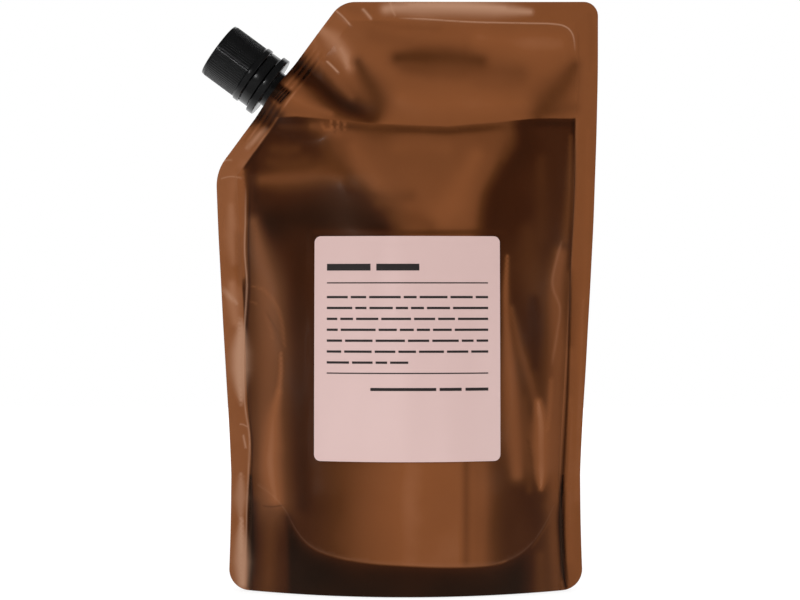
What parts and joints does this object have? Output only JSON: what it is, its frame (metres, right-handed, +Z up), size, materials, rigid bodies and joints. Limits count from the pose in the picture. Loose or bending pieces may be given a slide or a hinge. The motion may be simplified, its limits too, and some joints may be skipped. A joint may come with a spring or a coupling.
{
  "type": "hand soap refill pouch",
  "caption": "Filled stand-up refill pouch of clear brown film with a welded corner spout, tamper band, ribbed screw cap and a plain front label.",
  "frame": {"origin": "middle of the flat patch of the bottom gusset, at table height", "axes": "+Z up the pouch, front and label towards -Y, the spout at the upper corner on -X"},
  "size_m": [0.1663, 0.0558, 0.2474],
  "materials": {
    "amber_film": "glossy translucent laminate",
    "soap_liquid": "clear liquid",
    "black_plastic": "satin moulded",
    "pink_paper": "matt label stock"
  },
  "bodies": {
    "pack": {"front_panel": "amber_film", "back_panel": "amber_film", "bottom_gusset": "amber_film", "soap": "soap_liquid", "spout": "black_plastic", "label": "pink_paper"},
    "band": {"tamper_band": "black_plastic"},
    "cap": {"cap": "black_plastic"}
  },
  "joints": [
    {"name": "cap_turn", "type": "hinge", "parent": "pack", "child": "band", "pos_m": [-0.05483, 0, 0.2098], "axis": [-0.8048, 0, 0.5936], "range_deg": [0, 540]},
    {"name": "cap_rise", "type": "slide", "parent": "band", "child": "cap", "axis": [-0.8048, 0, 0.5936], "range_m": [0, 0.0045]}
  ],
  "couplings": [
    {"joint": "cap_rise", "follows": "cap_turn", "m_per_rad": 0.00047746}
  ]
}
